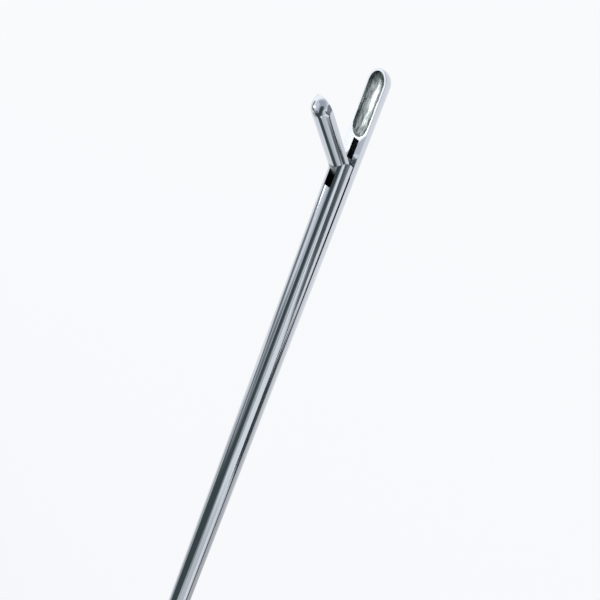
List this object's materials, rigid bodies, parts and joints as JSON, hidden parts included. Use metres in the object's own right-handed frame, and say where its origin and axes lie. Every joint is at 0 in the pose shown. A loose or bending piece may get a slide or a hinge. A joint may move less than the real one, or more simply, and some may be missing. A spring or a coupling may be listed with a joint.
{
  "type": "biopsy forceps",
  "caption": "Sliding-shaft biopsy forceps with a fixed cup, a hinged upper cup jaw, a thin round shaft and two ring handles.",
  "frame": {"origin": "on the shaft's axis at the front face of the hub", "axes": "+X along the shaft to the tip, +Z the side of the sliding bar and the opening jaw, handles hang towards -Z"},
  "size_m": [0.2422, 0.0147, 0.1063],
  "materials": {
    "polished_steel": "mirror polished stainless steel",
    "satin_steel": "satin polished stainless steel",
    "pin_steel": "ground stainless pin",
    "screw_steel": "turned stainless screw",
    "washer_steel": "lapped stainless washer"
  },
  "bodies": {
    "frame": {"fixed_bar": "polished_steel", "jaw_pivot_pin": "pin_steel", "front_guide_stud": "pin_steel", "middle_guide_stud": "pin_steel", "rear_guide_stud": "pin_steel", "handle_body": "satin_steel", "bar_lock_pins": "pin_steel", "slide_keeper": "satin_steel", "keeper_screws": "screw_steel", "stop_screw": "screw_steel", "stop_lock_nut": "screw_steel", "handle_pivot_screw": "screw_steel", "pivot_lock_nut": "screw_steel", "near_thrust_washer": "washer_steel", "far_thrust_washer": "washer_steel"},
    "sliding_shaft": {"slide_bar": "polished_steel", "jaw_drive_pin": "pin_steel", "slide_head": "satin_steel", "slide_head_pin": "pin_steel", "slide_drive_pin": "pin_steel"},
    "upper_jaw": {"moving_jaw": "polished_steel"},
    "finger_lever": {"finger_handle": "satin_steel"}
  },
  "joints": [
    {"name": "finger_handle_hinge", "type": "hinge", "parent": "frame", "child": "finger_lever", "pos_m": [-0.017, 0, -0.00537], "axis": [0, 1, 0], "range_deg": [0, 9.89]},
    {"name": "shaft_slide", "type": "slide", "parent": "frame", "child": "sliding_shaft", "axis": [1, 0, 0], "range_m": [0, 0.00121]},
    {"name": "jaw_hinge", "type": "hinge", "parent": "frame", "child": "upper_jaw", "pos_m": [0.1667, 0, -0.0007], "axis": [0, 1, 0], "range_deg": [0, 40.01]}
  ],
  "couplings": [
    {"joint": "shaft_slide", "follows": "finger_handle_hinge", "m_per_rad": 0.0069913},
    {"joint": "jaw_hinge", "follows": "finger_handle_hinge", "ratio": 4.0443}
  ]
}
